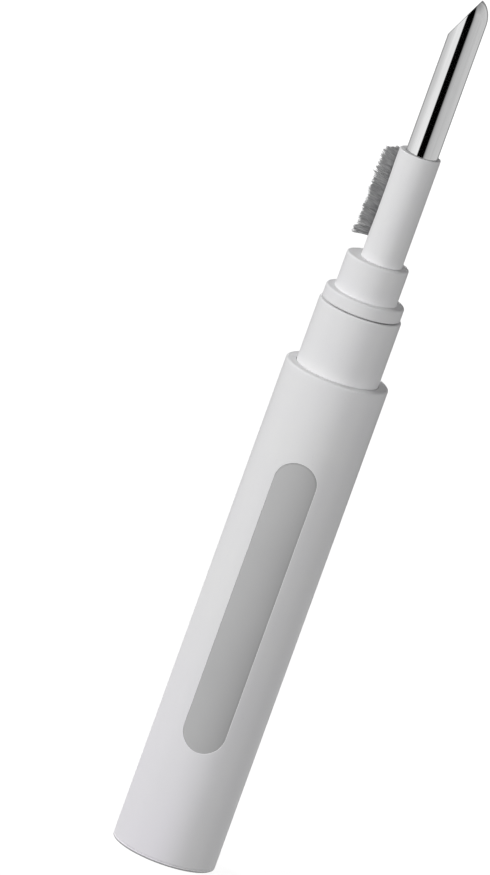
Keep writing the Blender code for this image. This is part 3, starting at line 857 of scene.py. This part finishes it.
def build_bristles():
    """Fine filaments packed edge to edge, each a tapering five-sided tube. They lean together in locks, and their ends are worn to uneven lengths."""
    rng = random.Random(41)
    sides, segments = 5, 6
    half_y, low, high, pitch = 1.27, 92.80, 105.02, 0.142
    vertices, faces = [], []
    lean_middle = sum(noise.noise(Vector((y * 0.3, z * 0.62, 3.7)) * 1.15 + Vector((9.1, 4.2, 0))) for y in (-2, 0, 2) for z in range(93, 106)) / 39
    row = 0
    z = low
    while z <= high:
        y = -half_y + (pitch / 2 if row % 2 else 0)
        while y <= half_y:
            root = (y + rng.uniform(-0.03, 0.03), z + rng.uniform(-0.03, 0.03))
            share = (root[1] - TUFT_MID_Z) / 6.2  # -1 at the lower end, 1 at the upper
            field = Vector((root[0] * 0.55, root[1] * 0.62, 3.7))
            lock = noise.noise(field * 1.15)
            lock2 = noise.noise(field * 1.15 + Vector((9.1, 4.2, 0)))
            fringe = noise.noise(Vector((root[0] * 1.3, root[1] * 1.9, 8.4)))
            lean_z = 0.30 * share + 0.34 * lock + rng.gauss(0, 0.035)
            lean_y = 0.15 * root[0] / half_y + 0.20 * (lock2 - lean_middle) + rng.gauss(0, 0.035)
            spike = noise.noise(Vector((root[0] * 2.6, root[1] * 3.4, 1.9)))
            upper = max(0.0, min(1.0, (share + 0.25) / 0.5))
            end = 5.66 + 0.16 * fringe + (0.14 + 0.66 * upper) * spike - abs(rng.gauss(0, 0.07))
            end -= 0.40 * max(0.0, share - 0.84) / 0.16
            if share < -0.80:
                fan = (-share - 0.80) / 0.14
                lean_z -= 0.34 + 0.22 * fan
                end += 0.50
            end = min(end, 6.25)
            phase, crimp = rng.uniform(0, math.tau), rng.uniform(0.008, 0.026)
            thick = rng.uniform(0.060, 0.074)
            first = len(vertices)
            for m in range(segments + 1):
                t = m / segments
                x = 1.05 + (end - 1.05) * t
                curve = t**1.7
                wy = root[0] + lean_y * curve + crimp * math.sin(t * 8.0 + phase) * t
                wz = root[1] + lean_z * curve + crimp * math.cos(t * 7.0 + phase) * t
                radius = thick * (1.0 - 0.15 * t) * (0.6 if m == segments else 1.0)
                for q in range(sides):
                    b = math.tau * q / sides + phase
                    vertices.append((x, wy + radius * math.cos(b), wz + radius * math.sin(b)))
            for m in range(segments):
                for q in range(sides):
                    n = (q + 1) % sides
                    a0, b0 = first + m * sides, first + (m + 1) * sides
                    faces.append((a0 + q, a0 + n, b0 + n, b0 + q))
            faces.append(tuple(first + segments * sides + q for q in range(sides)))
            faces.append(tuple(first + q for q in reversed(range(sides))))
            y += pitch
        z += pitch * 0.87
        row += 1
    mesh = bpy.data.meshes.new("bristles")
    mesh.from_pydata([(x * MM, y * MM, z * MM) for x, y, z in vertices], [], faces)
    mesh.transform(brush_place)
    mesh.update()
    mesh.shade_smooth()
    mesh.set_sharp_from_angle(angle=math.radians(75))
    mesh.materials.append(nylon_mat)
    obj = bpy.data.objects.new("bristles", mesh)
    scene.collection.objects.link(obj)
    return obj


tuft_nodes = [f"tuft_{row}{i + 1}" for row in "ab" for i in range(TUFTS_IN_ROW)]
done(build_bristles(), "insert", "bristle_nylon", *tuft_nodes)

# ---- sponge -----------------------------------------------------------------------------------

def build_sponge():
    """The flocked pad: a soft cylinder with a domed end, covered by a pile of short blunt fibres that lean together in brushed patches."""
    dome_z, edge, columns, pitch = SPONGE_BOTTOM + SPONGE_R, SPONGE_EDGE, 256, 0.128
    rng = random.Random(7)
    rows = [(0.0, 45.0, 0, 1, 0), (1.4, 45.2, 0, 1, 0), (2.3, 46.2, 1, 0, 0), (2.3, 60.0, 1, 0, 0), (2.3, SPONGE_TOP - 0.05, 1, 0, 0), (3.2, SPONGE_TOP - 0.05, 0, 1, 0)]
    for i in range(11):
        a = math.pi / 2 * i / 10
        rows.append((SPONGE_R - edge + edge * math.sin(a), SPONGE_TOP - edge + edge * math.cos(a), math.sin(a), math.cos(a), 0.25 + 0.75 * i / 10))
    steps = round((SPONGE_TOP - edge - dome_z) / pitch)
    rows += [(SPONGE_R, SPONGE_TOP - edge - (SPONGE_TOP - edge - dome_z) * i / steps, 1, 0, 1) for i in range(1, steps)]
    steps = round(SPONGE_R * math.pi / 2 / pitch)
    for i in range(steps):
        a = math.pi / 2 * i / steps
        rows.append((SPONGE_R * math.cos(a), dome_z - SPONGE_R * math.sin(a), math.cos(a), -math.sin(a), min(1.0, math.cos(a) / 0.16)))
    vertices, faces = [], []
    for i, (r, z, out, rise, amount) in enumerate(rows):
        for j in range(columns):
            a = math.tau * (j + rng.uniform(-0.42, 0.42) * (amount > 0)) / columns
            up = rng.uniform(-0.42, 0.42) * pitch * (amount > 0)
            here = Vector((r * math.cos(a), r * math.sin(a), z))
            height = 0.0
            if amount:
                depth = rng.uniform(0.0, 0.42) if (i + j) % 2 else rng.uniform(0.90, 1.0)
                soft = 0.030 * noise.noise(here * 1.1) - 0.030
                height = soft - amount * PILE * depth
                brushed = Vector((here.x, here.y, here.z * 0.55)) * 1.5
                a += 0.13 * (1 - depth) * noise.noise(brushed + Vector((3, 8, 1))) / max(r, 1.2) * amount
                up += 0.13 * (1 - depth) * noise.noise(brushed + Vector((7, 2, 5))) * amount
            radius = max(0.0, r + out * height)
            vertices.append((radius * math.cos(a), radius * math.sin(a), z + rise * height + out * up))
        if i:
            for j in range(columns):
                n = (j + 1) % columns
                b0, b1 = (i - 1) * columns, i * columns
                # Each square is split between its two low corners, so every tip stands alone.
                if (i - 1 + j) % 2:
                    faces += [(b0 + j, b0 + n, b1 + j), (b0 + n, b1 + n, b1 + j)]
                else:
                    faces += [(b0 + j, b0 + n, b1 + n), (b0 + j, b1 + n, b1 + j)]
    last = (len(rows) - 1) * columns
    middle = len(vertices)
    vertices.append((0.0, 0.0, SPONGE_BOTTOM + 0.06))
    faces += [(last + j, last + (j + 1) % columns, middle) for j in range(columns)]
    return mesh_object("sponge_flocked", vertices, faces, flock_mat, 180.0, 0.001)


sponge = build_sponge()
done(sponge, "insert", "flocked_foam", "sponge")

# ---- CAD nodes that stay ----------------------------------------------------------------------
for node, mat in (("inlay_tape", adhesive_mat), ("sponge_stem", insert_white)):
    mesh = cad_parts[node].data
    mesh.materials.clear()
    mesh.materials.append(mat)


# ---- stage ------------------------------------------------------------------------------------
def stage_plane(name, size, z):
    mesh = bpy.data.meshes.new(name)
    mesh.from_pydata([(-size, -size, z), (size, -size, z), (size, size, z), (-size, size, z)], [], [(0, 1, 2, 3)])
    obj = bpy.data.objects.new(name, mesh)
    scene.collection.objects.link(obj)
    return obj


floor = stage_plane("floor", 60.0, -0.00003)
floor_mat = bpy.data.materials.new("floor_white")
floor_mat.use_nodes = True
shader = floor_mat.node_tree.nodes["Principled BSDF"]
shader.inputs["Base Color"].default_value = (0.30, 0.30, 0.30, 1)
shader.inputs["Roughness"].default_value = 1.0
shader.inputs["Specular IOR Level"].default_value = 0.0
shader.inputs["Emission Color"].default_value = (1, 1, 1, 1)
shader.inputs["Emission Strength"].default_value = 0.90
floor.data.materials.append(floor_mat)
floor.visible_diffuse = False


def reflector():
    """A ring of studio cards round the pen, which only shine in its glossy surfaces: pale on the left, a black flag in front, grey on the right."""
    steps = 180
    rings = ((0.20, 0.0005), (0.20, 0.26), (0.19, 0.31), (0.165, 0.355), (0.125, 0.39), (0.075, 0.412), (0.03, 0.42))
    vertices, faces = [], []
    for radius, z in rings:
        for i in range(steps):
            a = math.tau * i / steps
            vertices.append((radius * math.sin(a), -radius * math.cos(a), z))
    for k in range(len(rings) - 1):
        for i in range(steps):
            n = (i + 1) % steps
            faces.append((k * steps + i, k * steps + n, (k + 1) * steps + n, (k + 1) * steps + i))
    faces.append(tuple((len(rings) - 1) * steps + i for i in range(steps)))
    mesh = bpy.data.meshes.new("studio_cards")
    mesh.from_pydata(vertices, [], faces)
    obj = bpy.data.objects.new("studio_cards", mesh)
    scene.collection.objects.link(obj)
    mat = bpy.data.materials.new("studio_cards")
    mat.use_nodes = True
    tree = mat.node_tree
    tree.nodes.clear()
    out = tree.nodes.new("ShaderNodeOutputMaterial")
    emit = tree.nodes.new("ShaderNodeEmission")
    ramp = tree.nodes.new("ShaderNodeValToRGB")
    angle = tree.nodes.new("ShaderNodeMath")
    angle.operation = "ARCTAN2"
    flip = tree.nodes.new("ShaderNodeMath")
    flip.operation = "MULTIPLY"
    flip.inputs[1].default_value = -1
    share = tree.nodes.new("ShaderNodeMapRange")
    share.inputs["From Min"].default_value = -math.pi
    share.inputs["From Max"].default_value = math.pi
    split = tree.nodes.new("ShaderNodeSeparateXYZ")
    place = tree.nodes.new("ShaderNodeTexCoord")
    link = tree.links.new
    link(place.outputs["Object"], split.inputs[0])
    link(split.outputs["Y"], flip.inputs[0])
    link(split.outputs["X"], angle.inputs[0])
    link(flip.outputs[0], angle.inputs[1])
    link(angle.outputs[0], share.inputs["Value"])
    link(share.outputs["Result"], ramp.inputs["Fac"])
    link(ramp.outputs["Color"], emit.inputs["Color"])
    link(emit.outputs[0], out.inputs["Surface"])
    fade = tree.nodes.new("ShaderNodeMapRange")
    for socket, value in (("From Min", 0.22), ("From Max", 0.42), ("To Min", 1.0), ("To Max", 0.5)):
        fade.inputs[socket].default_value = value
    link(split.outputs["Z"], fade.inputs["Value"])
    link(fade.outputs["Result"], emit.inputs["Strength"])
    stops = [
        (-180, 0.38), (-142, 0.38), (-134, 0.70), (-100, 0.78), (-72, 0.96), (-47, 1.02), (-33, 1.0),
        (-29.5, 0.0), (-2, 0.0), (12.0, 0.0), (18.5, 0.40), (32, 0.60), (60, 0.65), (120, 0.69), (136, 0.66), (144, 0.30),
    ]
    elements = ramp.color_ramp.elements
    while len(elements) < len(stops):
        elements.new(0.5)
    for element, (degrees, value) in zip(elements, stops):
        element.position = (degrees + AZIMUTH + 180) / 360 if degrees > -180 else 0.0
        element.color = (value, value, value, 1)
    mesh.materials.append(mat)
    obj.visible_camera = False
    obj.visible_diffuse = False
    obj.visible_shadow = False
    obj.visible_transmission = False
    obj.visible_volume_scatter = False


reflector()


def area(name, azimuth, elevation, distance, size, power, gloss=False):
    light = bpy.data.lights.new(name, "AREA")
    light.shape = "SQUARE"
    light.size = size
    light.energy = power
    obj = bpy.data.objects.new(name, light)
    scene.collection.objects.link(obj)
    a, e = math.radians(azimuth + AZIMUTH), math.radians(elevation)
    way = Vector((math.sin(a) * math.cos(e), -math.cos(a) * math.cos(e), math.sin(e)))
    obj.matrix_world = Matrix.Translation(way * distance + Vector((0, 0, 0.06))) @ way.to_track_quat("Z", "Y").to_matrix().to_4x4()
    obj.visible_glossy = gloss
    obj.visible_camera = False
    return obj


area("key_left", -65, 24, 1.4, 0.42, 11.9)
area("side_left", -120, 20, 1.4, 0.35, 6.2)
area("front", 10, 5, 1.4, 0.35, 8.1)
area("fill_right", 35, 6, 1.4, 0.35, 1.8)
area("back_right", 140, 8, 1.4, 0.35, 4.4)
area("back", 182, 9, 1.4, 0.40, 6.5)

world = bpy.data.worlds.new("studio")
scene.world = world
world.use_nodes = True
tree = world.node_tree
tree.nodes.clear()
out = tree.nodes.new("ShaderNodeOutputWorld")
seen = tree.nodes.new("ShaderNodeBackground")
seen.inputs["Color"].default_value = (1, 1, 1, 1)
seen.inputs["Strength"].default_value = 1.0
lit = tree.nodes.new("ShaderNodeBackground")
lit.inputs["Color"].default_value = (1, 1, 1, 1)
lit.inputs["Strength"].default_value = 0.02
path = tree.nodes.new("ShaderNodeLightPath")
either = tree.nodes.new("ShaderNodeMath")
either.operation = "MAXIMUM"
mixed = tree.nodes.new("ShaderNodeMixShader")
tree.links.new(path.outputs["Is Camera Ray"], either.inputs[0])
tree.links.new(path.outputs["Is Glossy Ray"], either.inputs[1])
tree.links.new(either.outputs[0], mixed.inputs["Fac"])
tree.links.new(lit.outputs[0], mixed.inputs[1])
tree.links.new(seen.outputs[0], mixed.inputs[2])
tree.links.new(mixed.outputs[0], out.inputs["Surface"])
